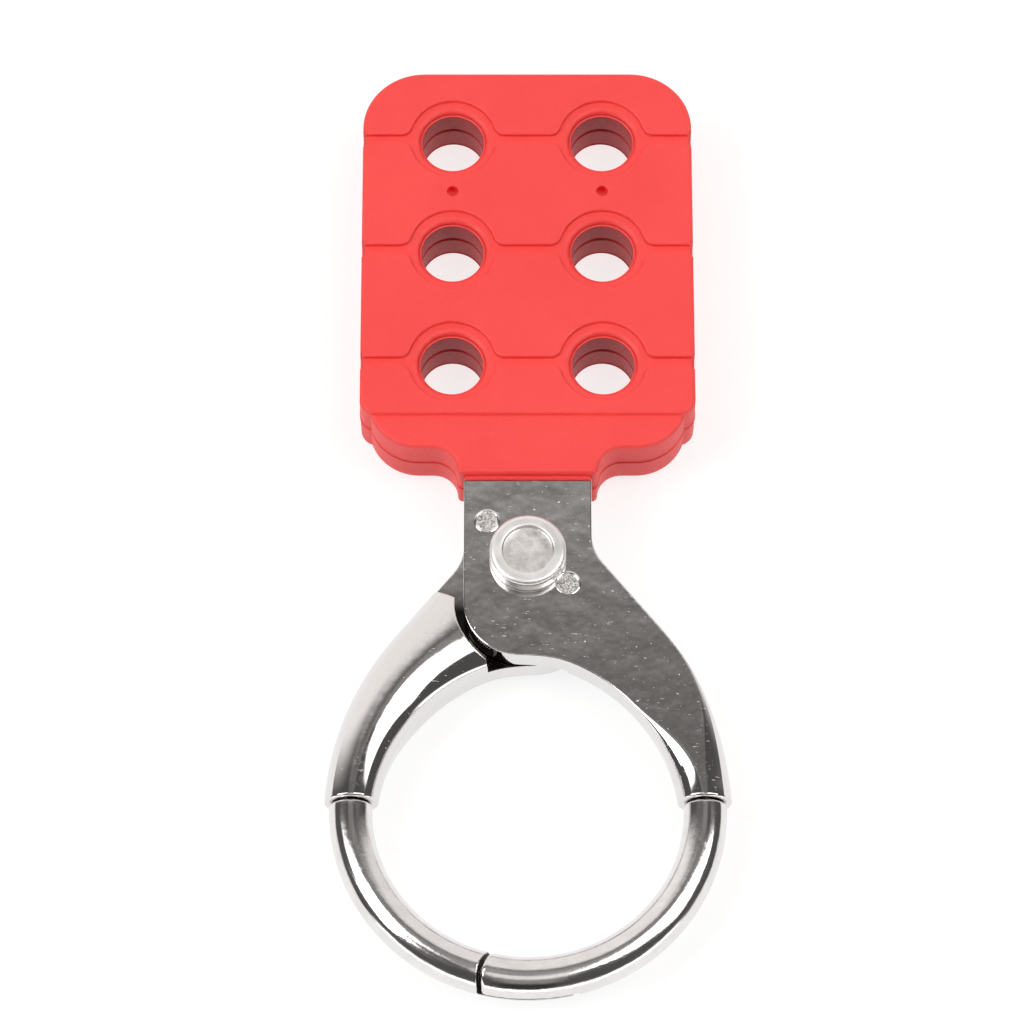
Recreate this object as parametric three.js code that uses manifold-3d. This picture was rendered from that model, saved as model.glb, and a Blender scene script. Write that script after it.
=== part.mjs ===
// Lockout hasp for padlocks up to 8 mm, with a 38 mm jaw opening.
//
// Two identical halves work like scissors about one rivet. Each half is a chrome-plated
// arm (a flat plate that grows into a round jaw), a steel hook set in the jaw's end, and
// a red nylon grip moulded over the arm's tang. The back half is the front half turned
// over about the long axis. Six padlock holes line up through both grips when the hooks
// meet, so a padlock in any of them keeps the jaws shut.
//
// Millimetres. +Y runs along the hasp from the hooks to the grips and +Z out of the front
// face. The origin is the middle of the whole hasp. Each half is drawn about the rivet.
import * as THREE from 'three';
import { ParametricGeometry } from 'three/addons/geometries/ParametricGeometry.js';
import { mergeVertices } from 'three/addons/utils/BufferGeometryUtils.js';
import Module from 'manifold-3d';

// ---- driving dimensions ---------------------------------------------------------------

const HALF_GAP = 0.15;             // each half stops this far from the middle plane
const FIT = 0.3;                   // clearance between pieces that fit in each other
const OVER = 1;                    // how far a cutter runs past what it cuts
const DISC_SIDES = 20;
const HIDDEN_SIDES = 12;           // of holes and posts inside a grip
const ARC_SEGMENTS = 5;            // half the sides of each arc in an outline

const RIVET_SHANK_RADIUS = 3.0;
const RIVET_HEAD_RADIUS = 4.8;
const RIVET_HEAD_TOP = 5.5;        // above the middle plane
const RIVET_HEAD_GAP = 0.15;       // under the head
const RIVET_RIM_ROUNDING = 0.6;
const RIVET_DISH_RADIUS = 3.15;
const RIVET_DISH_DEPTH = 0.7;      // in the middle
const RIVET_DISH_WALL = 0.38;      // depth of the dish at its edge
const RIVET_DISH_LIP = 0.1;

const PLATE_FACE = 3.3;            // outer face of an arm above the middle plane
const NECK_HALF_WIDTH = 8.0;
const NECK_END = 12.8;             // the plate thins to the tang here, inside the grip
const PLATE_CORNER_RADIUS = 7.1;
const PLATE_BOTTOM = -13.3;
const PLATE_EDGE_BEVEL = 0.4;

const RING_CENTRE = new THREE.Vector2(0, -32.7);
const RING_RADIUS = 21.75;         // centre line of the closed ring
const JAW_ROD_RADIUS = 3.3;        // where the jaw ends
const HOOK_RADIUS = 2.7;
const JAW_INNER_RADIUS = 22;       // inner edge of the jaw, an arc of its own
const JAW_INNER_CENTRE = new THREE.Vector2(-3.5, -34.6);
const FLANK_RADIUS = 38.5;         // outer edge of the jaw, between the ring and the diagonal
const FLANK_START = 5;             // degrees above the ring's diameter
const DIAGONAL_NORMAL = 38.8;      // degrees; the straight outer edge beside the rivet
const JAW_START = 1.9;             // degrees above the ring's diameter, where the hook is set in
const JAW_SPAN = 75;               // degrees of ring that the thick jaw covers, from there
const JAW_FLAT_FROM = 60;          // degrees; above this the section is squarest
const JAW_SQUARENESS = 8;
const JAW_STATIONS = 15;
const JAW_SIDES = 20;
const PLATE_ROOT_OVERLAP = 12;     // degrees of jaw that the plate runs into
const SHOULDER_GAP = 1.1;          // between a jaw's shoulder and the other plate's corner
const SWEEP_ANGLE = 58;            // the shoulder clears the other neck up to this opening
const SWEEP_RADIUS = 8.6;

const LAP_ANGLE = 15.0;            // each hook's half-thick tip runs this far past the middle
const LAP_GAP_ANGLE = 1.2;
const SEAM_ANGLE = 0.4;            // between the jaw's end and the hook
const SPIGOT_RADIUS = 1.9;
const SPIGOT_LENGTH = 5;
const HOOK_STATIONS = 24;
const HOOK_SIDES = 16;

const GRIP_TOP = 68.1;
const GRIP_HALF_WIDTH = 21.3;
const GRIP_FACE = 4.9;             // above the middle plane
const GRIP_CORNER_RADIUS = 8;
const GRIP_LOW_CORNER_RADIUS = 2.2;
const GRIP_STEP = 19.0;            // below this the grip is lower and narrower
const GRIP_LOW_FACE = 4.45;
const GRIP_LOW_HALF_WIDTH = 20.2;
const SHOULDER_BOTTOM = 14.4;
const SHOULDER_RADIUS = 6.5;
const GRIP_NECK_RADIUS = 3.0;
const GRIP_NECK_HALF_WIDTH = 8.9;
const GRIP_END = 10.8;
const GRIP_EDGE_BEVEL = 0.45;

const HOLE_RADIUS = 4.1;
const HOLE_MOUTH_RADIUS = 4.55;
const HOLE_MOUTH_DEPTH = 0.85;
const RECESS_RADIUS = 5.5;
const RECESS_DEPTH = 0.35;
const GROOVE_WIDTH = 1.05;
const GROOVE_OFFSET = 0.22;        // from the line of the holes
const NOTCH_WIDTH = 1.6;           // where a groove runs down the grip's side
const NOTCH_DEPTH = 0.4;
const COLUMN_PITCH = 19.2;
const ROW_PITCH = 16.0;
const MIDDLE_ROW = 42.2;
const PIN_HOLE_RADIUS = 0.7;       // left by the pins that hold the tang in the mould
const PIN_HOLE_Y = 50.7;

const TANG_BOTTOM_FACE = 1.2;
const TANG_HALF_WIDTH = 15;
const TANG_START = 16.5;
const TANG_END = 64;
const TANG_CORNER_RADIUS = 4;
const TANG_HOLE_RADIUS = 5.5;

// The middle of the hasp's length, seen from the rivet.
const HOOK_BOTTOM = RING_CENTRE.y - RING_RADIUS - HOOK_RADIUS;
const MIDDLE_Y = (GRIP_TOP + HOOK_BOTTOM) / 2;

// ---- solids ---------------------------------------------------------------------------

const wasm = await Module();
wasm.setup();

function degrees(angle) {
  return angle * Math.PI / 180;
}

// A closed three.js geometry as a solid that can be joined and cut.
function solid(geometry) {
  geometry.deleteAttribute('normal');
  geometry.deleteAttribute('uv');
  const merged = mergeVertices(geometry, 1e-5);
  const index = merged.index.array;
  const triangles = [];
  for (let i = 0; i < index.length; i += 3) {
    const [a, b, c] = [index[i], index[i + 1], index[i + 2]];
    if (a !== b && b !== c && c !== a) {
      triangles.push(a, b, c);
    }
  }
  return new wasm.Manifold(new wasm.Mesh({
    numProp: 3,
    vertProperties: new Float32Array(merged.attributes.position.array),
    triVerts: new Uint32Array(triangles),
  }));
}

function geometryOf(body) {
  const mesh = body.getMesh();
  const geometry = new THREE.BufferGeometry();
  geometry.setAttribute('position', new THREE.BufferAttribute(mesh.vertProperties, 3));
  geometry.setIndex(new THREE.BufferAttribute(mesh.triVerts, 1));
  geometry.computeVertexNormals();
  return geometry;
}

// A flat outline between two heights, its edges bevelled if asked.
function slab(shape, bottom, top, bevel = 0) {
  const points = shape.getPoints(ARC_SEGMENTS);
  const distinct = points.filter((point, i) => point.distanceTo(points.at(i - 1)) > 1e-3);
  const geometry = new THREE.ExtrudeGeometry(new THREE.Shape(distinct), {
    depth: top - bottom - 2 * bevel,
    bevelEnabled: bevel > 0,
    bevelThickness: bevel,
    bevelSize: bevel,
    bevelOffset: -bevel,
    bevelSegments: 1,
  });
  geometry.translate(0, 0, bottom + bevel);
  return solid(geometry);
}

function disc(x, y, radius, bottom, top, sides = DISC_SIDES) {
  const geometry = new THREE.CylinderGeometry(radius, radius, top - bottom, sides);
  geometry.rotateX(Math.PI / 2);
  geometry.translate(x, y, (bottom + top) / 2);
  return solid(geometry);
}

function block(x0, x1, y0, y1, z0, z1) {
  const geometry = new THREE.BoxGeometry(x1 - x0, y1 - y0, z1 - z0);
  geometry.translate((x0 + x1) / 2, (y0 + y1) / 2, (z0 + z1) / 2);
  return solid(geometry);
}

// A closed body through rings of points. point(station, turn, target) gives a point of
// the ring at that station; each end closes on the ring's middle.
function loft(point, stations, sides) {
  const rows = stations + 1;
  const opposite = new THREE.Vector3();
  const geometry = new ParametricGeometry((turn, run, target) => {
    const row = Math.min(Math.max(Math.round(run * rows), 0), rows);
    const station = Math.min(Math.max(row, 1), stations) - 1;
    point(station, (1 - turn) % 1, target);
    if (row === 0 || row === rows) {
      point(station, 0, target);
      point(station, 0.5, opposite);
      target.lerp(opposite, 0.5);
    }
  }, sides, rows);
  return solid(geometry);
}

// ---- plan geometry --------------------------------------------------------------------

// A point at an angle about the ring's centre.
function onRing(angle, radius) {
  return new THREE.Vector2(
    RING_CENTRE.x + radius * Math.cos(angle),
    RING_CENTRE.y + radius * Math.sin(angle),
  );
}

// How far from the ring's centre a ray at this angle leaves a circle.
function rayToCircle(angle, centre, radius) {
  const offset = centre.clone().sub(RING_CENTRE);
  const along = offset.x * Math.cos(angle) + offset.y * Math.sin(angle);
  return along + Math.sqrt(radius ** 2 - offset.lengthSq() + along ** 2);
}

const JAW_OUTER_RADIUS = RING_RADIUS + JAW_ROD_RADIUS;
const FLANK_CENTRE = onRing(degrees(FLANK_START), JAW_OUTER_RADIUS - FLANK_RADIUS);
const FLANK_END = new THREE.Vector2(
  FLANK_CENTRE.x + FLANK_RADIUS * Math.cos(degrees(DIAGONAL_NORMAL)),
  FLANK_CENTRE.y + FLANK_RADIUS * Math.sin(degrees(DIAGONAL_NORMAL)),
);
const FLANK_END_ANGLE = FLANK_END.clone().sub(RING_CENTRE).angle();
const DIAGONAL_DISTANCE = FLANK_END.clone().sub(RING_CENTRE).length()
  * Math.cos(FLANK_END_ANGLE - degrees(DIAGONAL_NORMAL));

function jawInner(angle) {
  return rayToCircle(angle, JAW_INNER_CENTRE, JAW_INNER_RADIUS);
}

function jawOuter(angle) {
  if (angle < degrees(FLANK_START)) {
    return JAW_OUTER_RADIUS;
  }
  if (angle < FLANK_END_ANGLE) {
    return rayToCircle(angle, FLANK_CENTRE, FLANK_RADIUS);
  }
  return DIAGONAL_DISTANCE / Math.cos(angle - degrees(DIAGONAL_NORMAL));
}

// Where the straight outer edge of the arm meets the side of the neck.
function diagonalTop() {
  const normal = degrees(DIAGONAL_NORMAL);
  const slope = -Math.cos(normal) / Math.sin(normal);
  return FLANK_END.y + (NECK_HALF_WIDTH - FLANK_END.x) * slope;
}

const CORNER_CENTRE = new THREE.Vector2(
  -NECK_HALF_WIDTH + PLATE_CORNER_RADIUS,
  PLATE_BOTTOM + PLATE_CORNER_RADIUS,
);

// ---- arm ------------------------------------------------------------------------------

// The plate around the rivet: neck, rounded corner, and the root of the jaw.
function plateShape() {
  const rootAngle = degrees(JAW_SPAN - PLATE_ROOT_OVERLAP);
  const edgeStart = Math.asin((PLATE_BOTTOM - JAW_INNER_CENTRE.y) / JAW_INNER_RADIUS);
  const root = onRing(rootAngle, jawInner(rootAngle)).sub(JAW_INNER_CENTRE);
  const outer = onRing(rootAngle, jawOuter(rootAngle));
  const shape = new THREE.Shape();
  shape.moveTo(NECK_HALF_WIDTH, NECK_END);
  shape.lineTo(-NECK_HALF_WIDTH, NECK_END);
  shape.absarc(CORNER_CENTRE.x, CORNER_CENTRE.y, PLATE_CORNER_RADIUS, Math.PI, 1.5 * Math.PI);
  shape.absarc(JAW_INNER_CENTRE.x, JAW_INNER_CENTRE.y, JAW_INNER_RADIUS,
    edgeStart, root.angle(), true);
  shape.lineTo(outer.x, outer.y);
  shape.lineTo(NECK_HALF_WIDTH, diagonalTop());
  return shape;
}

// The jaw's section across the ring: squarer toward the plate on the plate's own side,
// half an ellipse on the other side, and a full circle where the hook starts.
function jawSection(angle, turn, target) {
  const inner = jawInner(angle);
  const outer = jawOuter(angle);
  const sweep = 2 * Math.PI * turn;
  const share = Math.min(angle / degrees(JAW_FLAT_FROM), 1);
  const power = sweep < Math.PI ? THREE.MathUtils.lerp(2, JAW_SQUARENESS, share) : 2;
  const across = Math.sign(Math.cos(sweep)) * Math.abs(Math.cos(sweep)) ** (2 / power);
  const height = Math.sign(Math.sin(sweep)) * Math.abs(Math.sin(sweep)) ** (2 / power);
  const plan = onRing(angle, (outer + inner) / 2 + across * (outer - inner) / 2);
  target.set(plan.x, plan.y, JAW_ROD_RADIUS * height);
}

// What a jaw leaves free on the far side for the other half's plate, closed and opening.
function otherPlateRoom() {
  const normal = new THREE.Vector2(Math.cos(degrees(SWEEP_ANGLE)), -Math.sin(degrees(SWEEP_ANGLE)));
  const along = new THREE.Vector2(-normal.y, normal.x);
  const foot = normal.clone().multiplyScalar(SWEEP_RADIUS);
  const reach = 2 * GRIP_HALF_WIDTH;
  const shape = new THREE.Shape([
    foot.clone().addScaledVector(along, reach),
    foot.clone().addScaledVector(along, reach).addScaledVector(normal, -reach),
    foot.clone().addScaledVector(along, -SWEEP_RADIUS).addScaledVector(normal, -reach),
    foot.clone().addScaledVector(along, -SWEEP_RADIUS),
  ]);
  const bottom = -PLATE_FACE - OVER;
  const corner = disc(-CORNER_CENTRE.x, CORNER_CENTRE.y, PLATE_CORNER_RADIUS + SHOULDER_GAP,
    bottom, HALF_GAP);
  return slab(shape, bottom, HALF_GAP).add(corner);
}

function tangShape(grow = 0) {
  const half = TANG_HALF_WIDTH + grow;
  const radius = TANG_CORNER_RADIUS;
  const low = TANG_START - grow;
  const high = TANG_END + grow;
  const shape = new THREE.Shape();
  shape.absarc(-half + radius, low + radius, radius, Math.PI, 1.5 * Math.PI);
  shape.absarc(half - radius, low + radius, radius, -0.5 * Math.PI, 0);
  shape.absarc(half - radius, high - radius, radius, 0, 0.5 * Math.PI);
  shape.absarc(-half + radius, high - radius, radius, 0.5 * Math.PI, Math.PI);
  return shape;
}

function padlockHoles() {
  const centres = [];
  for (const column of [-0.5, 0.5]) {
    for (const row of [-1, 0, 1]) {
      centres.push([column * COLUMN_PITCH, MIDDLE_ROW + row * ROW_PITCH]);
    }
  }
  return centres;
}

function armGeometry() {
  const last = JAW_STATIONS - 1;
  const jaw = loft((station, turn, target) => {
    const angle = THREE.MathUtils.lerp(JAW_START, JAW_START + JAW_SPAN, station / last);
    jawSection(degrees(angle), turn, target);
  }, JAW_STATIONS, JAW_SIDES);
  const far = GRIP_TOP;
  const plate = slab(plateShape(), -OVER, PLATE_FACE, PLATE_EDGE_BEVEL);
  let body = plate.subtract(block(-far, far, -far, far, -OVER * 2, 0));
  body = body.add(jaw).subtract(otherPlateRoom());

  const joinEnd = TANG_START + TANG_CORNER_RADIUS;
  body = body.add(block(-NECK_HALF_WIDTH + PLATE_EDGE_BEVEL, NECK_HALF_WIDTH - PLATE_EDGE_BEVEL,
    0, joinEnd, TANG_BOTTOM_FACE, PLATE_FACE));
  body = body.add(slab(tangShape(), TANG_BOTTOM_FACE, PLATE_FACE));
  for (const [x, y] of padlockHoles()) {
    body = body.subtract(disc(x, y, TANG_HOLE_RADIUS, 0, PLATE_FACE + OVER, HIDDEN_SIDES));
  }
  body = body.subtract(disc(0, 0, RIVET_SHANK_RADIUS + FIT, -OVER, PLATE_FACE + OVER));
  return geometryOf(body.subtract(spigot(FIT)));
}

// ---- hook -----------------------------------------------------------------------------

// The pin on a hook that sits in the end of the jaw, and with a clearance, its socket.
function spigot(clearance) {
  const geometry = new THREE.CylinderGeometry(
    SPIGOT_RADIUS + clearance, SPIGOT_RADIUS + clearance,
    SPIGOT_LENGTH + clearance + OVER, DISC_SIDES,
  );
  const middle = RING_CENTRE.y + (SPIGOT_LENGTH + clearance - OVER) / 2;
  geometry.translate(RING_RADIUS, middle, 0);
  return solid(geometry);
}

// The lower quarter of the ring, from the jaw's end to just past the ring's lowest point.
function hookGeometry() {
  const start = degrees(JAW_START - SEAM_ANGLE);
  const end = -degrees(90 + LAP_ANGLE);
  const last = HOOK_STATIONS - 1;
  const rod = loft((station, turn, target) => {
    const angle = THREE.MathUtils.lerp(start, end, station / last);
    const sweep = 2 * Math.PI * turn;
    const plan = onRing(angle, RING_RADIUS - HOOK_RADIUS * Math.cos(sweep));
    target.set(plan.x, plan.y, HOOK_RADIUS * Math.sin(sweep));
  }, HOOK_STATIONS, HOOK_SIDES);

  const lapStart = -degrees(90 - LAP_ANGLE - LAP_GAP_ANGLE);
  const lapEnd = -degrees(90 + 2 * LAP_ANGLE);
  const near = RING_RADIUS - 2 * HOOK_RADIUS;
  const away = RING_RADIUS + 2 * HOOK_RADIUS;
  const lap = new THREE.Shape([
    onRing(lapEnd, near),
    onRing(lapEnd, away),
    onRing((lapStart + lapEnd) / 2, away + OVER),
    onRing(lapStart, away),
    onRing(lapStart, near),
  ]);
  const tip = slab(lap, -HOOK_RADIUS - OVER, HALF_GAP);
  return geometryOf(rod.subtract(tip).add(spigot(0)));
}

// ---- grip -----------------------------------------------------------------------------

function gripUpperShape() {
  const half = GRIP_HALF_WIDTH;
  const big = GRIP_CORNER_RADIUS;
  const small = GRIP_LOW_CORNER_RADIUS;
  const shape = new THREE.Shape();
  shape.absarc(-half + small, GRIP_STEP + small, small, Math.PI, 1.5 * Math.PI);
  shape.absarc(half - small, GRIP_STEP + small, small, -0.5 * Math.PI, 0);
  shape.absarc(half - big, GRIP_TOP - big, big, 0, 0.5 * Math.PI);
  shape.absarc(-half + big, GRIP_TOP - big, big, 0.5 * Math.PI, Math.PI);
  return shape;
}

function gripLowerShape() {
  const half = GRIP_LOW_HALF_WIDTH;
  const round = SHOULDER_RADIUS;
  const hollow = GRIP_NECK_RADIUS;
  const neck = GRIP_NECK_HALF_WIDTH;
  const shape = new THREE.Shape();
  shape.moveTo(-neck, GRIP_END);
  shape.lineTo(neck, GRIP_END);
  shape.absarc(neck + hollow, SHOULDER_BOTTOM - hollow, hollow, Math.PI, 0.5 * Math.PI, true);
  shape.absarc(half - round, SHOULDER_BOTTOM + round, round, -0.5 * Math.PI, 0);
  shape.lineTo(half, GRIP_STEP + GRIP_CORNER_RADIUS);
  shape.lineTo(-half, GRIP_STEP + GRIP_CORNER_RADIUS);
  shape.absarc(-half + round, SHOULDER_BOTTOM + round, round, Math.PI, 1.5 * Math.PI);
  shape.absarc(-neck - hollow, SHOULDER_BOTTOM - hollow, hollow, 0.5 * Math.PI, 0, true);
  return shape;
}

// The room for the tang: open at the neck, with a post left around each padlock hole.
function tangRoom() {
  const bottom = TANG_BOTTOM_FACE - FIT;
  const top = PLATE_FACE + FIT;
  const half = NECK_HALF_WIDTH + FIT;
  let room = slab(tangShape(FIT), bottom, top);
  room = room.add(block(-half, half, GRIP_END - OVER, NECK_END + FIT, -OVER, top));
  room = room.add(block(-half, half, GRIP_END, TANG_START + TANG_CORNER_RADIUS, bottom, top));
  for (const [x, y] of padlockHoles()) {
    room = room.subtract(
      disc(x, y, TANG_HOLE_RADIUS - FIT, bottom - OVER, top + OVER, HIDDEN_SIDES),
    );
  }
  return room;
}

function gripGeometry() {
  let body = slab(gripUpperShape(), HALF_GAP, GRIP_FACE, GRIP_EDGE_BEVEL);
  body = body.add(slab(gripLowerShape(), HALF_GAP, GRIP_LOW_FACE, GRIP_EDGE_BEVEL));
  body = body.subtract(tangRoom());

  const side = GRIP_HALF_WIDTH;
  const floor = GRIP_FACE - RECESS_DEPTH;
  const above = GRIP_FACE + OVER;
  for (const row of [-1, 0, 1]) {
    const y = MIDDLE_ROW + row * ROW_PITCH + GROOVE_OFFSET;
    const [low, high] = [y - GROOVE_WIDTH / 2, y + GROOVE_WIDTH / 2];
    const [down, up] = [y - NOTCH_WIDTH / 2, y + NOTCH_WIDTH / 2];
    body = body.subtract(block(-side - OVER, side + OVER, low, high, floor, above));
    body = body.subtract(block(side - NOTCH_DEPTH, side + OVER, down, up, -OVER, above));
    body = body.subtract(block(-side - OVER, NOTCH_DEPTH - side, down, up, -OVER, above));
  }
  for (const [x, y] of padlockHoles()) {
    body = body.subtract(disc(x, y + GROOVE_OFFSET, RECESS_RADIUS, floor, above));
    body = body.subtract(disc(x, y, HOLE_MOUTH_RADIUS, GRIP_FACE - HOLE_MOUTH_DEPTH, above));
    body = body.subtract(disc(x, y, HOLE_RADIUS, -OVER, above));
  }
  for (const column of [-0.5, 0.5]) {
    body = body.subtract(
      disc(column * COLUMN_PITCH, PIN_HOLE_Y, PIN_HOLE_RADIUS, PLATE_FACE, above, HIDDEN_SIDES),
    );
  }
  return geometryOf(body);
}

// ---- rivet ----------------------------------------------------------------------------

// A solid rivet, the same at both ends: a low head with a rounded rim and a turned dish.
function rivetGeometry() {
  const seat = PLATE_FACE + RIVET_HEAD_GAP;
  const bulge = RIVET_RIM_ROUNDING * Math.SQRT1_2;
  const half = [
    [0, RIVET_HEAD_TOP - RIVET_DISH_DEPTH],
    [RIVET_DISH_RADIUS - RIVET_DISH_LIP, RIVET_HEAD_TOP - RIVET_DISH_WALL],
    [RIVET_DISH_RADIUS, RIVET_HEAD_TOP - RIVET_DISH_LIP],
    [RIVET_DISH_RADIUS + RIVET_DISH_LIP, RIVET_HEAD_TOP],
    [RIVET_HEAD_RADIUS - RIVET_RIM_ROUNDING, RIVET_HEAD_TOP],
    [RIVET_HEAD_RADIUS - RIVET_RIM_ROUNDING + bulge, RIVET_HEAD_TOP - RIVET_RIM_ROUNDING + bulge],
    [RIVET_HEAD_RADIUS, RIVET_HEAD_TOP - RIVET_RIM_ROUNDING],
    [RIVET_HEAD_RADIUS, seat],
    [RIVET_SHANK_RADIUS, seat],
  ];
  const turned = half.map(([radius, height]) => [radius, -height]).reverse();
  const profile = [...half, ...turned].map(([radius, height]) => new THREE.Vector2(radius, height));
  const geometry = new THREE.LatheGeometry(profile.reverse(), DISC_SIDES);
  geometry.rotateX(Math.PI / 2);
  return geometryOf(solid(geometry));
}

// ---- assembly -------------------------------------------------------------------------

const chrome = { color: 0xc9cacc, roughness: 0.12, metalness: 1 };
const hookSteel = { color: 0xbfc1c4, roughness: 0.2, metalness: 1 };
const rivetSteel = { color: 0xd6d5d2, roughness: 0.3, metalness: 1 };
const nylon = { color: 0xee3a38, roughness: 0.6, metalness: 0 };

function piece(name, geometry, finish) {
  const mesh = new THREE.Mesh(geometry, new THREE.MeshStandardMaterial(finish));
  mesh.name = name;
  return mesh;
}

const shapes = { arm: armGeometry(), hook: hookGeometry(), grip: gripGeometry() };

function half(armName, hookName, gripName) {
  const group = new THREE.Group();
  group.add(piece(armName, shapes.arm, chrome));
  group.add(piece(hookName, shapes.hook, hookSteel));
  group.add(piece(gripName, shapes.grip, nylon));
  return group;
}

const frontHalf = half('front_arm', 'right_hook', 'front_grip');
const backHalf = half('back_arm', 'left_hook', 'back_grip');
backHalf.rotation.y = Math.PI;

const group = new THREE.Group();
group.add(frontHalf, backHalf, piece('pivot_rivet', rivetGeometry(), rivetSteel));
group.position.y = -MIDDLE_Y;

export default group;
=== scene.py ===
"""Looks for the lockout hasp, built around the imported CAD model.

Shapes are in millimetres about the rivet, as the halves turn about it: +Y towards the
grips, +Z out of the front face. place() moves them to the frame, in metres.

The castings and hooks are solids given by a distance field and meshed as a surface net,
so that their fillets run out smoothly. The grips are rounded prisms with cut features.
"""

import math

import bmesh
import bpy
import numpy as np
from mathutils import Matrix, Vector


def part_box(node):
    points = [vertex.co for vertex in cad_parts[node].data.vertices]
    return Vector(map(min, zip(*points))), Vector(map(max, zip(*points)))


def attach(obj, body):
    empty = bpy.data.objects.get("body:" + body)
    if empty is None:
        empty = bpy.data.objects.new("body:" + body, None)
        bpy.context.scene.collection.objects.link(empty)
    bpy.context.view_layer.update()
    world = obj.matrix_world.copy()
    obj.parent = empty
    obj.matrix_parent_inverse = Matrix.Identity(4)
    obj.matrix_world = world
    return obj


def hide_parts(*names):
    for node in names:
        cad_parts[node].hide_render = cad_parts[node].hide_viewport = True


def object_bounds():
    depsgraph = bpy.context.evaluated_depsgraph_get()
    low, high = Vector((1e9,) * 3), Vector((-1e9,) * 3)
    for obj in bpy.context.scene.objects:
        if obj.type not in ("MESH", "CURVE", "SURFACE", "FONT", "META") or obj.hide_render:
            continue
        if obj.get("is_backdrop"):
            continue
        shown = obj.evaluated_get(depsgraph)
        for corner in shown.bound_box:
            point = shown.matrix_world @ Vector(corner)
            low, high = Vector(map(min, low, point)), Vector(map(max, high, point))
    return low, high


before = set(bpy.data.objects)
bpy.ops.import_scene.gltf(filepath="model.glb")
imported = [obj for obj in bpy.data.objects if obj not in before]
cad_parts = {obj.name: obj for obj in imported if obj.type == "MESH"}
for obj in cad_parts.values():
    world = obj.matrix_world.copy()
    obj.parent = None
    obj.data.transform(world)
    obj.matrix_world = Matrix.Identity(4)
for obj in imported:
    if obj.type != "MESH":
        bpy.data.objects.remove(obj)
cad_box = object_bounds()

MM = 0.001
rivet_low, rivet_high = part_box("pivot_rivet")
ORIGIN = (rivet_low + rivet_high) / 2        # the rivet's middle, in the frame

# ---- the parts' dimensions, mm --------------------------------------------------------

HALF_GAP = 0.15
PLATE_FACE = 3.3
NECK_HALF_WIDTH = 8.0
NECK_END = 12.8
PLATE_BOTTOM = -13.3
CORNER_RADIUS = 7.1
CORNER_X, CORNER_Y = -0.9, -6.2
RING_Y = -32.7
RING_RADIUS = 21.75
JAW_ROD = 3.3
HOOK_ROD = 2.67
JAW_INNER_X, JAW_INNER_Y, JAW_INNER_RADIUS = -3.5, -34.6, 22.0
FLANK_RADIUS = 38.5
FLANK_START = math.radians(5)
DIAGONAL_NORMAL = math.radians(38.8)
JAW_SPAN = math.radians(75)
SWEEP_ANGLE = math.radians(58)
SWEEP_RADIUS = 9.3
SHOULDER_GAP = 1.1
JAW_END = RING_Y + 0.75                       # where a jaw stops and its hook starts
SEAM = 0.12

GRIP_TOP = 68.1
GRIP_HALF_WIDTH = 21.3
GRIP_FACE = 4.9
GRIP_DRAFT = 0.08                            # the walls lean in by this much at the face
GRIP_STEP = 18.85
GRIP_LOW_HALF_WIDTH = 20.2
GRIP_LOW_FACE = 4.45
GRIP_END = 10.8
GRIP_NECK_HALF_WIDTH = 8.9
SHOULDER_BOTTOM = 14.4
COLUMN = 9.6
MIDDLE_ROW = 42.2
ROW_PITCH = 16.0
GROOVE_OFFSET = 0.22
GROOVE_HALF = 0.525
NOTCH_HALF = 1.05
NOTCH_DEPTH = 0.5
RECESS_RADIUS = 5.5
RECESS_DEPTH = 0.48
PIN_HOLE_Y = 50.7
PIN_HOLE_RADIUS = 0.72
PIN_HOLE_FLOOR = 3.75

# The steel inside the grips and the jaws.
TANG_HALF_WIDTH = 15.0
TANG_MIDDLE, TANG_HALF_LENGTH = 40.25, 23.75
TANG_CORNER = 4.0
TANG_HOLE_RADIUS = 5.5
TANG_LEVEL, TANG_HALF_THICKNESS = 2.25, 1.05
RIVET_HOLE_RADIUS = 3.3
SOCKET_RADIUS, SOCKET_DEPTH = 2.2, 5.3
SPIGOT_RADIUS = 1.9
SPIGOT_LEVEL, SPIGOT_HALF_LENGTH = 1.5, 3.5


# ---- meshes ---------------------------------------------------------------------------

def place(points):
    return np.asarray(points, float) * MM + np.array(ORIGIN)


def new_object(name, points, faces, normals=None):
    """A mesh object in the frame from millimetre points, with smooth shading."""
    mesh = bpy.data.meshes.new(name)
    mesh.from_pydata(place(points).tolist(), [], [list(map(int, f)) for f in faces])
    mesh.validate()
    mesh.shade_smooth()
    if normals is not None:
        mesh.normals_split_custom_set_from_vertices(normals.tolist())
    made = bpy.data.objects.new(name, mesh)
    bpy.context.scene.collection.objects.link(made)
    return made


def turned_over(points):
    """The back half's place: half a turn about the long axis."""
    return points * np.array([-1.0, 1.0, -1.0])


def meet(a, b, radius):
    """The inside of both a and b, their shared edge rounded."""
    corner = np.hypot(np.maximum(radius + a, 0), np.maximum(radius + b, 0))
    return np.minimum(-radius, np.maximum(a, b)) + corner


def blend(a, b, reach):
    """The inside of a or b, with a soft hollow where they meet."""
    near = np.maximum(reach - np.abs(a - b), 0) / reach
    return np.minimum(a, b) - near * near * reach / 4


def slope(field, points, step=2e-3):
    """The field's gradient at each point."""
    columns = []
    for axis in range(3):
        nudge = np.zeros(3)
        nudge[axis] = step
        ahead = field(*(points + nudge).T)
        behind = field(*(points - nudge).T)
        columns.append((ahead - behind) / (2 * step))
    return np.stack(columns, 1)


def ticks(start, end, step, fine=()):
    """Grid lines from start to end, closer together within the fine stretches."""
    lines = [start]
    while lines[-1] < end:
        here = [s for low, high, s in fine if low <= lines[-1] < high]
        lines.append(lines[-1] + min([step] + here))
    return np.array(lines)


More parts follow.
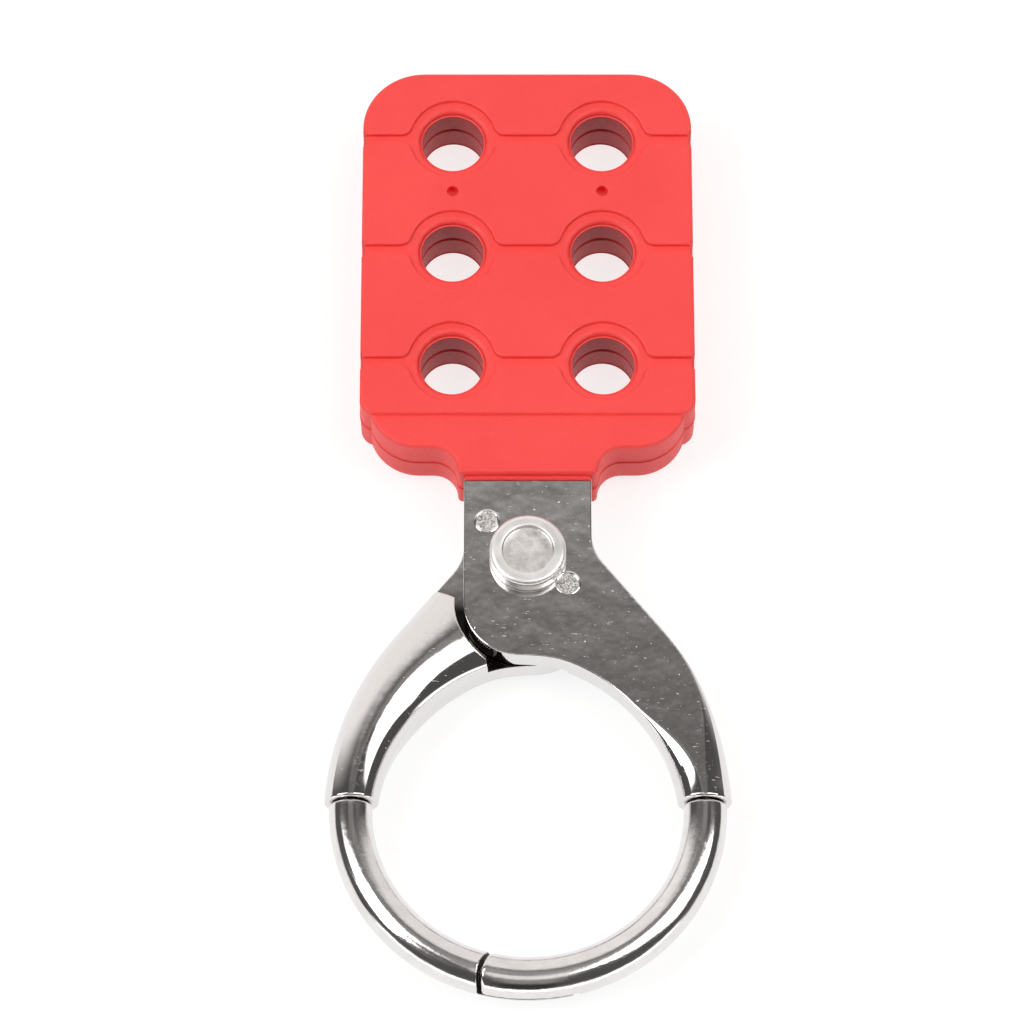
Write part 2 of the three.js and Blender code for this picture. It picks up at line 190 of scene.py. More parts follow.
def surface_net(field, xs, ys, zs):
    """Points and quads of the field's zero surface: a point in each grid cell it crosses."""
    inside = field(xs[:, None, None], ys[None, :, None], zs[None, None, :])
    values = inside.astype(np.float32)
    inside = values < 0
    count = sum(
        inside[a:len(xs) - 1 + a, b:len(ys) - 1 + b, c:len(zs) - 1 + c].astype(np.int8)
        for a in (0, 1) for b in (0, 1) for c in (0, 1)
    )
    crossed = (count > 0) & (count < 8)
    cells = np.argwhere(crossed)
    number = np.full(crossed.shape, -1, np.int64)
    number[crossed] = np.arange(len(cells))
    corners = [(a, b, c) for a in (0, 1) for b in (0, 1) for c in (0, 1)]
    level, spot = {}, {}
    for corner in corners:
        at = cells + np.array(corner)
        level[corner] = values[at[:, 0], at[:, 1], at[:, 2]].astype(float)
        spot[corner] = np.stack([xs[at[:, 0]], ys[at[:, 1]], zs[at[:, 2]]], 1)
    total = np.zeros((len(cells), 3))
    hits = np.zeros(len(cells))
    for corner in corners:
        for axis in range(3):
            if corner[axis]:
                continue
            other = tuple(1 if i == axis else v for i, v in enumerate(corner))
            a, b = level[corner], level[other]
            cut = (a < 0) != (b < 0)
            share = a[cut] / (a[cut] - b[cut])
            total[cut] += spot[corner][cut] + share[:, None] * (spot[other] - spot[corner])[cut]
            hits[cut] += 1
    points = total / hits[:, None]

    quads = []
    for axis in range(3):
        low = [slice(1, -1)] * 3
        high = [slice(1, -1)] * 3
        low[axis], high[axis] = slice(0, -1), slice(1, None)
        first, second = inside[tuple(low)], inside[tuple(high)]
        at = np.argwhere(first != second) + np.array([int(i != axis) for i in range(3)])
        u, v = (axis + 1) % 3, (axis + 2) % 3
        ring = []
        for du, dv in ((-1, -1), (0, -1), (0, 0), (-1, 0)):
            cell = at.copy()
            cell[:, u] += du
            cell[:, v] += dv
            ring.append(number[cell[:, 0], cell[:, 1], cell[:, 2]])
        ring = np.stack(ring, 1)
        leaving = first[first != second]
        ring[~leaving] = ring[~leaving][:, ::-1]
        quads.append(ring)
    return points, np.concatenate(quads)


def settle(field, points, rounds=6, most=0.15):
    """Moves points along the field's slope on to its zero surface."""
    for _ in range(rounds):
        push = slope(field, points)
        size = np.maximum((push * push).sum(1), 0.2)
        step = np.clip(field(*points.T) / size, -most, most)
        points = points - step[:, None] * push
    return points


def thinned(points, quads, flat=math.radians(0.4)):
    """The same surface with its flat parts merged into large faces."""
    mesh = bmesh.new()
    verts = [mesh.verts.new(p) for p in points]
    for quad in quads:
        mesh.faces.new([verts[i] for i in quad])
    bmesh.ops.dissolve_limit(mesh, angle_limit=flat, verts=mesh.verts[:], edges=mesh.edges[:])
    mesh.verts.index_update()
    kept = np.array([v.co for v in mesh.verts])
    faces = [[v.index for v in f.verts] for f in mesh.faces]
    mesh.free()
    return kept, faces


def field_solid(field, xs, ys, zs):
    """Points, faces and point normals of a solid given by a field."""
    points, quads = surface_net(field, xs, ys, zs)
    points, faces = thinned(settle(field, points), quads)
    normals = slope(field, points, 0.01)
    return points, faces, normals / np.linalg.norm(normals, axis=1)[:, None]


# ---- prisms, turned shapes and cuts ---------------------------------------------------

def arc(x, y, radius, start, end, steps, hollow=False):
    """Points and outward normals along an arc, angles in degrees. The solid is inside
    the arc's circle, or outside it if hollow."""
    angles = np.radians(np.linspace(start, end, steps + 1))
    spokes = np.stack([np.cos(angles), np.sin(angles)], 1)
    return np.array([x, y]) + radius * spokes, -spokes if hollow else spokes


def outline(*arcs):
    return np.concatenate([a[0] for a in arcs]), np.concatenate([a[1] for a in arcs])


def prism(loop, profile):
    """A closed body from a loop and a profile of (outward offset, height) pairs."""
    points, normals = loop
    count = len(points)
    rings = [np.column_stack([points + o * normals, np.full(count, z)]) for o, z in profile]
    faces = [list(range(count))[::-1], [count * (len(rings) - 1) + i for i in range(count)]]
    for ring in range(len(rings) - 1):
        for i in range(count):
            j = (i + 1) % count
            a, b = ring * count, (ring + 1) * count
            faces.append([a + i, a + j, b + j, b + i])
    return np.concatenate(rings), faces


def turned(x, y, profile, sides=96):
    """A closed body of revolution about a vertical line, from (radius, height) pairs."""
    return prism(
        (np.tile([x, y], (sides, 1)).astype(float), arc(0, 0, 1, 0, 360, sides)[1][:-1]),
        profile,
    )


def quarter(x, y, radius, start, end, steps=5):
    """Profile points along an arc, angles in degrees."""
    return [tuple(p) for p in arc(x, y, radius, start, end, steps)[0]]


def joined(name, bodies):
    points, faces, base = [], [], 0
    for body_points, body_faces in bodies:
        points.append(body_points)
        faces += [[base + i for i in face] for face in body_faces]
        base += len(body_points)
    return new_object(name, np.concatenate(points), faces)


def combine(target, bodies, operation="DIFFERENCE"):
    """Cuts closed bodies from target, or joins them to it."""
    tool = joined("tool", bodies)
    change = target.modifiers.new("combine", "BOOLEAN")
    change.operation = operation
    change.solver = "MANIFOLD"
    change.object = tool
    bake(target)
    tool_mesh = tool.data
    bpy.data.objects.remove(tool)
    bpy.data.meshes.remove(tool_mesh)


def bake(target):
    """Applies the modifiers of target."""
    bpy.context.view_layer.update()
    graph = bpy.context.evaluated_depsgraph_get()
    result = bpy.data.meshes.new_from_object(target.evaluated_get(graph))
    old = target.data
    target.modifiers.clear()
    target.data = result
    bpy.data.meshes.remove(old)
    result.name = target.name


# ---- arm ------------------------------------------------------------------------------

FLANK_X = (RING_RADIUS + JAW_ROD - FLANK_RADIUS) * math.cos(FLANK_START)
FLANK_Y = RING_Y + (RING_RADIUS + JAW_ROD - FLANK_RADIUS) * math.sin(FLANK_START)
EJECTOR_MARKS = ((-5.1, 4.8), (5.0, -3.65))
EJECTOR_RADIUS = 1.3
EDGE = 0.16                                  # rounding of the plate's upper edge


def padlock_holes():
    rows = (MIDDLE_ROW - ROW_PITCH, MIDDLE_ROW, MIDDLE_ROW + ROW_PITCH)
    return [(x, y) for x in (-COLUMN, COLUMN) for y in rows]


def jaw_edges(x, y):
    """Plan distances past the jaw's outer and inner edges, negative in the metal."""
    inner = JAW_INNER_RADIUS - np.hypot(x - JAW_INNER_X, y - JAW_INNER_Y)
    bearing = np.arctan2(y - FLANK_Y, x - FLANK_X)
    flank = np.hypot(x - FLANK_X, y - FLANK_Y) - FLANK_RADIUS
    diagonal = ((x - FLANK_X) * math.cos(DIAGONAL_NORMAL)
                + (y - FLANK_Y) * math.sin(DIAGONAL_NORMAL) - FLANK_RADIUS)
    ring = np.hypot(x, y - RING_Y) - RING_RADIUS - JAW_ROD
    outer = np.where(bearing > FLANK_START, flank, ring)
    return np.where(bearing > DIAGONAL_NORMAL, diagonal, outer), inner


def mark_depth(x, y):
    """How deep the ejector pins pressed the plate's face."""
    depth = 0
    for mx, my in EJECTOR_MARKS:
        away = np.hypot(x - mx, y - my)
        sunk = np.clip((EJECTOR_RADIUS + 0.06 - away) / 0.12, 0, 1)
        rim = np.clip(1 - np.abs(away - EJECTOR_RADIUS - 0.16) / 0.14, 0, 1)
        depth = depth + 0.11 * sunk - 0.035 * rim
    return depth


def arm_field(x, y, z):
    outer, inner = jaw_edges(x, y)
    right = blend(x - NECK_HALF_WIDTH, outer, 1.4)
    low = blend(PLATE_BOTTOM - y, inner, 1.2)
    plan = np.maximum(meet(-NECK_HALF_WIDTH - x, low, CORNER_RADIUS), right)
    plan = np.maximum(plan, y - NECK_END)

    # The flat face narrows to nothing as its edges round off towards the jaw's end.
    theta = np.degrees(np.arctan2(y - RING_Y, x))
    fading = np.clip((46 - theta) / 40, 0, 1)
    rounding = EDGE + (JAW_ROD - EDGE) * fading * fading * (3 - 2 * fading)
    top = meet(plan, z - PLATE_FACE + mark_depth(x, y), rounding)
    plate = meet(top, HALF_GAP - z, 0.12)

    half = np.maximum(-(inner + outer) / 2, 1.0)
    across = (inner - outer) / 2 / half
    under = (np.hypot(across, z / JAW_ROD) - 1) * np.minimum(half, JAW_ROD)
    jaw = np.where(z > 0, top, under)
    span = (y - RING_Y) * math.cos(JAW_SPAN) - x * math.sin(JAW_SPAN)
    sweep = x * math.cos(SWEEP_ANGLE) - y * math.sin(SWEEP_ANGLE) - SWEEP_RADIUS
    along = -x * math.sin(SWEEP_ANGLE) - y * math.cos(SWEEP_ANGLE) - SWEEP_RADIUS
    corner = np.hypot(x + CORNER_X, y - CORNER_Y) - CORNER_RADIUS - SHOULDER_GAP
    room = np.minimum(np.maximum(sweep, along), corner)
    jaw = meet(np.maximum(jaw, span), -room, 0.2)
    body = meet(np.minimum(plate, jaw), JAW_END - y, 0.35)

    # The tang inside the grip.
    box_x = np.abs(x) - TANG_HALF_WIDTH + TANG_CORNER
    box_y = np.abs(y - TANG_MIDDLE) - TANG_HALF_LENGTH + TANG_CORNER
    sheet = np.hypot(np.maximum(box_x, 0), np.maximum(box_y, 0)) - TANG_CORNER
    for hx, hy in padlock_holes():
        sheet = np.maximum(sheet, TANG_HOLE_RADIUS - np.hypot(x - hx, y - hy))
    stem = np.maximum(np.abs(x) - NECK_HALF_WIDTH + 0.7, np.abs(y - 10) - 10.5)
    sheet = np.maximum(np.minimum(sheet, stem), np.abs(z - TANG_LEVEL) - TANG_HALF_THICKNESS)
    body = np.minimum(body, sheet)

    body = np.maximum(body, RIVET_HOLE_RADIUS - np.hypot(x, y))
    socket = np.maximum(np.hypot(x - RING_RADIUS, z) - SOCKET_RADIUS, y - RING_Y - SOCKET_DEPTH)
    return np.maximum(body, -socket)


def arm_shape():
    pad = EJECTOR_RADIUS + 0.5
    marks_x = [(mx - pad, mx + pad, 0.07) for mx, _ in EJECTOR_MARKS]
    marks_y = [(my - pad, my + pad, 0.07) for _, my in EJECTOR_MARKS]
    xs = ticks(-15.9, 25.6, 0.8, [(-9.1, 25.6, 0.18)] + marks_x)
    ys = ticks(-33.3, 65.2, 0.9, [(-33.3, 13.2, 0.18)] + marks_y)
    zs = ticks(-3.65, 3.7, 0.18, [(2.8, 3.4, 0.1), (-0.2, 0.3, 0.1)])
    return field_solid(arm_field, xs, ys, zs)


# ---- hook -----------------------------------------------------------------------------

LAP = math.radians(15.0)
SHOULDER = math.radians(16.1)
NOSE = 0.09                                  # the tip bulges by this much times the offset squared


def ring_plane(x, y, angle):
    """Distance past the plane through the ring's axis, going on round the ring."""
    return (y - RING_Y) * -math.cos(angle) + x * math.sin(angle)


def hook_field(x, y, z):
    outward = np.hypot(x, y - RING_Y) - RING_RADIUS
    tube = np.hypot(outward, z) - HOOK_ROD
    nose = NOSE * outward * outward
    tip = ring_plane(x, y, -math.pi / 2 - LAP) + nose
    body = meet(meet(tube, y - JAW_END + SEAM, 0.35), tip, 0.5)
    beyond = ring_plane(x, y, -math.pi / 2 + SHOULDER) - nose
    body = meet(body, -np.maximum(-beyond, z - HALF_GAP), 0.1)
    spigot = np.maximum(np.hypot(x - RING_RADIUS, z) - SPIGOT_RADIUS,
                        np.abs(y - RING_Y - SPIGOT_LEVEL) - SPIGOT_HALF_LENGTH)
    return np.minimum(body, spigot)


def hook_shape():
    xs = ticks(-9.2, 25.2, 0.2)
    ys = ticks(-57.9, -27.2, 0.2)
    zs = ticks(-3.1, 3.2, 0.2, [(-0.1, 0.4, 0.1)])
    return field_solid(hook_field, xs, ys, zs)


# ---- grip -----------------------------------------------------------------------------

def grip_upper():
    wide, big, small = GRIP_HALF_WIDTH, 8.0, 2.2
    return outline(
        arc(-wide + small, GRIP_STEP + small, small, 180, 270, 6),
        arc(wide - small, GRIP_STEP + small, small, 270, 360, 6),
        arc(wide - big, GRIP_TOP - big, big, 0, 90, 20),
        arc(-wide + big, GRIP_TOP - big, big, 90, 180, 20),
    )


def grip_lower():
    wide, big = GRIP_LOW_HALF_WIDTH, 6.5
    hollow, neck, small = 3.0, GRIP_NECK_HALF_WIDTH, 0.7
    return outline(
        arc(-neck + small, GRIP_END + small, small, 180, 270, 5),
        arc(neck - small, GRIP_END + small, small, 270, 360, 5),
        arc(neck + hollow, SHOULDER_BOTTOM - hollow, hollow, 170, 90, 10, hollow=True),
        arc(wide - big, SHOULDER_BOTTOM + big, big, 270, 360, 16),
        arc(wide - 2, GRIP_STEP + 6, 2, 0, 90, 4),
        arc(-wide + 2, GRIP_STEP + 6, 2, 90, 180, 4),
        arc(-wide + big, SHOULDER_BOTTOM + big, big, 180, 270, 16),
        arc(-neck - hollow, SHOULDER_BOTTOM - hollow, hollow, 90, 10, 10, hollow=True),
    )


def rounded_profile(bottom, top, low_round, high_round):
    return (quarter(-low_round, bottom + low_round, low_round, -90, 0, 3)
            + quarter(-high_round, top - high_round, high_round, 0, 90, 6))


def grip_profile(top, rounding):
    """A grip's wall: a fine ridge of flash at the parting plane, draft, a rounded edge."""
    ridge = [(-0.12, 0), (0, 0.03), (0, 0.13), (-0.06, 0.2)]
    return ([(o, HALF_GAP + z) for o, z in ridge]
            + quarter(-rounding - GRIP_DRAFT, top - rounding, rounding, 0, 90, 6))


def sunk_profile(floor, face, corner, lip):
    """The profile of a cutter with a rounded floor edge and a rounded lip at the face."""
    return (quarter(-corner, floor + corner, corner, -90, 0, 3)
            + [(lip - x, z) for x, z in quarter(0, face - lip, lip, 0, 88, 5)]
            + [(lip, face + 0.02), (lip, face + 2)])


def groove_outline(y, reach):
    """One groove with the two padlock recesses on it, and the fillets between them."""
    ease = 1.5
    rise = GROOVE_HALF + ease
    run = math.sqrt((RECESS_RADIUS + ease) ** 2 - rise ** 2)
    tilt = math.degrees(math.atan2(rise, run))
    arcs = []
    for side, turn in ((1, 0), (-1, 180)):     # along the lower edge, then back
        edge, low = y - side * GROOVE_HALF, y - side * rise
        arcs.append((np.array([[-side * reach, edge]]), np.array([[0.0, -side]])))
        for x in (-side * COLUMN, side * COLUMN):
            arcs.append(arc(x - side * run, low, ease, 90 + turn, tilt + turn, 8, hollow=True))
            arcs.append(arc(x, y, RECESS_RADIUS, 180 + tilt + turn, 360 - tilt + turn, 48))
            arcs.append(arc(x + side * run, low, ease, 180 - tilt + turn, 90 + turn, 8,
                            hollow=True))
        arcs.append((np.array([[side * reach, edge]]), np.array([[0.0, -side]])))
    return outline(*arcs)


def plain_box(x0, x1, y0, y1, z0, z1):
    loop = np.array([[x0, y0], [x1, y0], [x1, y1], [x0, y1]], float)
    return prism((loop, np.zeros((4, 2))), [(0, z0), (0, z1)])


def side_notch(side, y):
    """A cutter for the end of a groove, down the grip's side."""
    half = sunk_profile(GRIP_HALF_WIDTH - NOTCH_DEPTH, GRIP_HALF_WIDTH, 0.15, 0.3)
    lower = [(x, -NOTCH_HALF - o) for o, x in half]
    upper = [(x, NOTCH_HALF + o) for o, x in half][::-1]
    loop = np.array(lower + upper)
    if side < 0:
        loop = (loop * np.array([-1, 1]))[::-1]
    loop[:, 1] += y
    return prism((loop, np.zeros_like(loop)), [(0, -1.0), (0, GRIP_FACE + 1)])


def tang_room():
    """The room for the tang, with a post round each padlock hole, and its mouths."""
    wide, low, high, corner = 15.3, 16.2, 64.3, 4.0
    mid_x, mid_low, mid_high = wide - corner, low + corner, high - corner
    room = outline(
        arc(-mid_x, mid_low, corner, 180, 270, 8),
        arc(mid_x, mid_low, corner, 270, 360, 8),
        arc(mid_x, mid_high, corner, 0, 90, 8),
        arc(-mid_x, mid_high, corner, 90, 180, 8),
    )
    made = joined("hollow", [prism(room, [(0, 0.9), (0, 3.6)])])
    combine(made, [turned(x, y, [(5.2, 0), (5.2, 4.5)], 48) for x, y in padlock_holes()])
    mouth = NECK_HALF_WIDTH + 0.03
    combine(made, [plain_box(-mouth, mouth, GRIP_END - 1, NECK_END + 0.3, -1, 3.34)], "UNION")
    combine(made, [plain_box(-mouth, mouth, GRIP_END, 21, 0.9, 3.5)], "UNION")
    return made


def flash_lip():
    """A lip of flash that lies on the plate at the neck's end."""
    half = NECK_HALF_WIDTH - 0.15
    lip = outline(
        arc(-half, GRIP_END - 0.3, 0.1, 180, 270, 3),
        arc(half, GRIP_END - 0.3, 0.1, 270, 360, 3),
        (np.array([[half + 0.1, GRIP_END + 0.6], [-half - 0.1, GRIP_END + 0.6]]),
         np.array([[1.0, 0.0], [-1.0, 0.0]])),
    )
    return joined("lip", [prism(lip, rounded_profile(3.33, 3.62, 0.04, 0.12))])


def bore_profile(floor):
    """A padlock hole's bore, with a thin ledge and a wide rounded mouth."""
    bore = [(4.25, -1), (4.25, HALF_GAP), (4.07, HALF_GAP + 0.18), (4.05, 3.62),
            (3.97, 3.68), (3.99, 3.76), (4.14, 3.80)]
    mouth_radius, mouth_start, mouth_wide = 4.17, 3.82, 0.83
    for angle in range(0, 91, 10):
        turn = math.radians(angle)
        bore.append((mouth_radius + mouth_wide * (1 - math.cos(turn)),
                     mouth_start + (floor - mouth_start) * math.sin(turn)))
    return bore + [(5.02, floor + 0.03), (5.02, GRIP_FACE + 1)]


def grip_object(name):
    made = joined(name, [prism(grip_upper(), grip_profile(GRIP_FACE, 0.45))])
    combine(made, [prism(grip_lower(), grip_profile(GRIP_LOW_FACE, 0.5))], "UNION")
    room = tang_room()
    change = made.modifiers.new("room", "BOOLEAN")
    change.operation, change.solver, change.object = "DIFFERENCE", "MANIFOLD", room
    bake(made)
    bpy.data.objects.remove(room)

    floor = GRIP_FACE - RECESS_DEPTH
    rows = sorted({y + GROOVE_OFFSET for _, y in padlock_holes()})
    grooves = sunk_profile(floor, GRIP_FACE, 0.15, 0.27)
    combine(made, [prism(groove_outline(y, GRIP_HALF_WIDTH + 2), grooves) for y in rows])
    combine(made, [side_notch(s, y) for s in (-1, 1) for y in rows])
    combine(made, [turned(x, y, bore_profile(floor)) for x, y in padlock_holes()])
    lip = sunk_profile(3.3, GRIP_FACE, 0.0, 0.08)[4:]
    pin = [(PIN_HOLE_RADIUS, PIN_HOLE_FLOOR)] + [(r + PIN_HOLE_RADIUS, z) for r, z in lip]
    combine(made, [turned(x, PIN_HOLE_Y, pin, 40) for x in (-COLUMN, COLUMN)])

    lip_object = flash_lip()
    both = bmesh.new()
    both.from_mesh(made.data)
    both.from_mesh(lip_object.data)
    both.to_mesh(made.data)
    both.free()
    bpy.data.objects.remove(lip_object)

    made.data.shade_smooth()
    made.data.set_sharp_from_angle(angle=math.radians(38))
    even = made.modifiers.new("even", "WEIGHTED_NORMAL")
    even.keep_sharp = True
    even.weight = 90
    bake(made)
    return made


# ---- rivet ----------------------------------------------------------------------------

def rivet_shape():
    """A solid rivet with a dished, turned head at each end."""
    seat, top, rim, shank = 3.45, 5.5, 4.8, 3.0
    dish, deep = 3.15, 0.72
    head = [(shank, 0), (shank, seat - 0.06), (shank + 0.06, seat), (rim - 0.12, seat)]
    head += [(rim - 0.035, seat + 0.035), (rim, seat + 0.12), (rim, top - 0.62)]
    head += quarter(rim - 0.62, top - 0.62, 0.62, 0, 90, 8)
    head += [(dish + 0.25, top), (dish + 0.1, top - 0.03), (dish + 0.02, top - 0.12)]
    head += [(dish, top - 0.3), (dish - 0.05, top - 0.36), (dish - 0.15, top - 0.38)]
    for share in (0.9, 0.8, 0.7, 0.6, 0.5, 0.4, 0.3, 0.2, 0.12, 0.06):
        head.append((dish * share, top - 0.38 - (deep - 0.38) * (1 - share)))
    head.append((0.02, top - deep))
    under = [(r, -z) for r, z in head[1:]][::-1]
    return turned(0, 0, under + head, 128)


# ---- materials ------------------------------------------------------------------------

class Finish:
    """A material and a short way to add nodes to it."""

    def __init__(self, name):
        self.material = bpy.data.materials.new(name)
        self.material.use_nodes = True
        self.tree = self.material.node_tree
        self.tree.nodes.clear()
        self.place = self.add("TexCoord").outputs["Object"]

    def add(self, kind, inputs=None, **settings):
        node = self.tree.nodes.new("ShaderNode" + kind)
        for key, value in settings.items():
            setattr(node, key, value)
        for key, value in (inputs or {}).items():
            if isinstance(value, bpy.types.NodeSocket):
                self.tree.links.new(value, node.inputs[key])
            else:
                node.inputs[key].default_value = value
        return node

    def math(self, operation, *values):
        return self.add("Math", dict(enumerate(values)), operation=operation).outputs[0]

    def about_rivet(self):
        """Object coordinates from the rivet's middle."""
        middle = self.add("VectorMath", {0: self.place, 1: tuple(ORIGIN)}, operation="SUBTRACT")
        return self.add("SeparateXYZ", {"Vector": middle.outputs["Vector"]}).outputs

    def distance(self, a, b):
        return self.math("SQRT", self.math("ADD", self.math("MULTIPLY", a, a),
                                           self.math("MULTIPLY", b, b)))

    def joint(self, z):
        """How upright the surface faces, and 1 on the flat faces where the halves meet."""
        upright = self.add("SeparateXYZ", {"Vector": self.add("NewGeometry").outputs["Normal"]})
        flat = self.math("ABSOLUTE", upright.outputs["Z"])
        deep = self.span(self.math("ABSOLUTE", z), 0.3 * MM, 0.2 * MM, 0, 1)
        return flat, self.math("MULTIPLY", deep, self.span(flat, 0.85, 0.95, 0, 1))

    def noise(self, scale, detail=3.0, rough=0.5, vector=None):
        inputs = {"Vector": vector or self.place, "Scale": scale,
                  "Detail": detail, "Roughness": rough}
        return self.add("TexNoise", inputs).outputs["Fac"]

    def ramp(self, value, *stops):
        node = self.add("ValToRGB", {"Fac": value})
        elements = node.color_ramp.elements
        while len(elements) < len(stops):
            elements.new(0.5)
        for element, (position, shade) in zip(elements, stops):
            element.position = position
            element.color = shade if len(shade) == 4 else (*shade, 1)
        return node.outputs["Color"]

    def span(self, value, low, high, to_low, to_high):
        inputs = {"Value": value, "From Min": low, "From Max": high,
                  "To Min": to_low, "To Max": to_high}
        return self.add("MapRange", inputs, clamp=True).outputs["Result"]

    def bump(self, height, distance, strength=1.0, under=None):
        inputs = {"Height": height, "Distance": distance, "Strength": strength}
        if under is not None:
            inputs["Normal"] = under
        return self.add("Bump", inputs).outputs["Normal"]

    def finish(self, **sockets):
        shader = self.add("BsdfPrincipled", {k.replace("_", " "): v for k, v in sockets.items()})
        self.add("OutputMaterial", {"Surface": shader.outputs["BSDF"]})
        return self.material


def grey(level):
    return (level, level, level)


GAP_SHADE = (0.04, 0.035, 0.03, 1)               # painted shade: a dark colour put in the gaps between the halves


def chrome_finish():
    """Plated zinc casting: mirror-like, with pits and fine scratches, rough pads where the
    ejector pins pressed, and painted shade (a dark colour) in the gap beside the other half's
    rounded corner."""
    f = Finish("chrome_casting")
    x, y, z = f.about_rivet()
    facing = f.math("MULTIPLY", x, f.math("SIGN", z))
    pads = []
    for mx, my in EJECTOR_MARKS:
        away = f.distance(f.math("SUBTRACT", facing, mx * MM), f.math("SUBTRACT", y, my * MM))
        pads.append(f.span(away, (EJECTOR_RADIUS + 0.05) * MM, (EJECTOR_RADIUS - 0.05) * MM, 0, 1))
    pad = f.math("MAXIMUM", *pads)

    stretched = f.add("Mapping", {"Vector": f.place, "Scale": (1.0, 9.0, 1.0),
                                  "Rotation": (0, 0, 0.35)}).outputs["Vector"]
    scratches = f.ramp(f.noise(1100, 4, 0.6, stretched), (0.68, grey(0)), (0.75, grey(1)))
    pits = f.ramp(f.noise(1900, 1, 0.5), (0.77, grey(0)), (0.84, grey(1)))
    speckle = f.noise(3800, 2, 0.6)
    flat, joint = f.joint(z)
    # painted shade: darkens the exposed mating face in the gap below the plate, outside the other
    # half's corner
    gap_shade = f.math("MULTIPLY", joint, f.span(y, -3.0 * MM, -6.0 * MM, 0, 1))
    from_corner = f.distance(f.math("ADD", facing, CORNER_X * MM),
                        f.math("SUBTRACT", y, CORNER_Y * MM))
    shade_none, shade_full = (CORNER_RADIUS - 0.4) * MM, CORNER_RADIUS * MM
    gap_shade = f.math("MULTIPLY", gap_shade, f.span(from_corner, shade_none, shade_full, 0, 1))
    flat = f.span(flat, 0.97, 0.998, 0.12, 1)
    mottle = f.noise(300, 2, 0.5)
    skin = f.ramp(f.noise(900, 5, 0.75), (0.3, (0.60, 0.585, 0.575)),
                  (0.5, (0.70, 0.685, 0.675)), (0.72, (0.80, 0.79, 0.78)))
    cast = f.add("MixRGB", {"Fac": flat, "Color1": (0.75, 0.735, 0.73, 1), "Color2": skin}
                 ).outputs["Color"]
    rough = f.ramp(speckle, (0.38, (0.26, 0.25, 0.24)), (0.62, (0.78, 0.77, 0.76)))
    tint = f.add("MixRGB", {"Fac": pad, "Color1": cast, "Color2": rough}).outputs["Color"]
    tint = f.add("MixRGB", {"Fac": gap_shade, "Color1": tint, "Color2": GAP_SHADE}).outputs["Color"]
    dull = f.span(f.noise(420, 4, 0.6), 0.35, 0.75, 0.04, 0.1)
    dull = f.math("ADD", dull, f.math("MULTIPLY", scratches, 0.1))
    dull = f.math("ADD", dull, f.math("MULTIPLY", pits, 0.2))
    dull = f.math("ADD", dull, f.math("MULTIPLY", pad, 0.38))
    normal = f.bump(f.math("MULTIPLY", mottle, flat), 0.00010, 0.30,
                    f.bump(f.noise(140, 2, 0.5), 0.00008, 0.4))
    normal = f.bump(scratches, 0.000012, 0.5, normal)
    normal = f.bump(pits, 0.00004, 0.7, normal)
    normal = f.bump(f.math("MULTIPLY", speckle, pad), 0.00012, 0.8, normal)
    return f.finish(Base_Color=tint, Metallic=1.0, Roughness=dull, Normal=normal)


def hook_finish():
    """Plated steel rod, drawn lengthwise, with painted shade (a dark colour) in the corner of the
    lap.
    """
    f = Finish("hook_steel")
    x, y, z = f.about_rivet()
    drop = f.math("SUBTRACT", y, RING_Y * MM)
    turn = f.math("MULTIPLY", f.math("ARCTAN2", drop, x), 0.0012)
    lines = f.add("CombineXYZ", {"X": f.distance(x, drop), "Y": turn, "Z": z}).outputs["Vector"]
    drawn = f.noise(2600, 3, 0.6, lines)
    worn = f.noise(500, 5, 0.65)
    tint = f.ramp(worn, (0.3, (0.72, 0.70, 0.70)), (0.7, (0.80, 0.79, 0.78)))
    facing = f.math("MULTIPLY", x, f.math("SIGN", z))
    past = f.math("SUBTRACT", f.math("MULTIPLY", facing, -math.cos(SHOULDER)),
                  f.math("MULTIPLY", drop, math.sin(SHOULDER)))
    # painted shade: darkens the mating face in the lap's gap, beside the shoulder
    gap_shade = f.math("MULTIPLY", f.joint(z)[1], f.span(past, 1.8 * MM, 1.1 * MM, 0, 1))
    tint = f.add("MixRGB", {"Fac": gap_shade, "Color1": tint, "Color2": GAP_SHADE}).outputs["Color"]
    dull = f.span(drawn, 0.3, 0.7, 0.08, 0.17)
    normal = f.bump(drawn, 0.00003, 0.35, f.bump(worn, 0.00006, 0.4))
    return f.finish(Base_Color=tint, Metallic=1.0, Roughness=dull, Normal=normal)


def rivet_finish():
    """Bright rivet, turned to a satin finish, duller in the dish."""
    f = Finish("rivet_steel")
    x, y, z = f.about_rivet()
    out = f.distance(x, y)
    rings = f.noise(3200, 4, 0.7, f.add("CombineXYZ", {"X": out}).outputs["Vector"])
    dish = f.ramp(f.noise(700, 4, 0.7), (0.35, (0.52, 0.50, 0.49)), (0.65, (0.80, 0.79, 0.77)))
    rim = f.ramp(rings, (0.3, (0.84, 0.83, 0.82)), (0.7, (0.95, 0.94, 0.93)))
    tint = f.add("MixRGB", {"Fac": f.span(out, 3.0 * MM, 3.3 * MM, 0, 1), "Color1": dish,
                            "Color2": rim}).outputs["Color"]
    dull = f.span(f.noise(300, 4, 0.6), 0.3, 0.7, 0.30, 0.46)
    normal = f.bump(rings, 0.00003, 0.3, f.bump(f.noise(500, 4, 0.6), 0.00006, 0.3))
    return f.finish(Base_Color=tint, Metallic=1.0, Roughness=dull, Normal=normal)


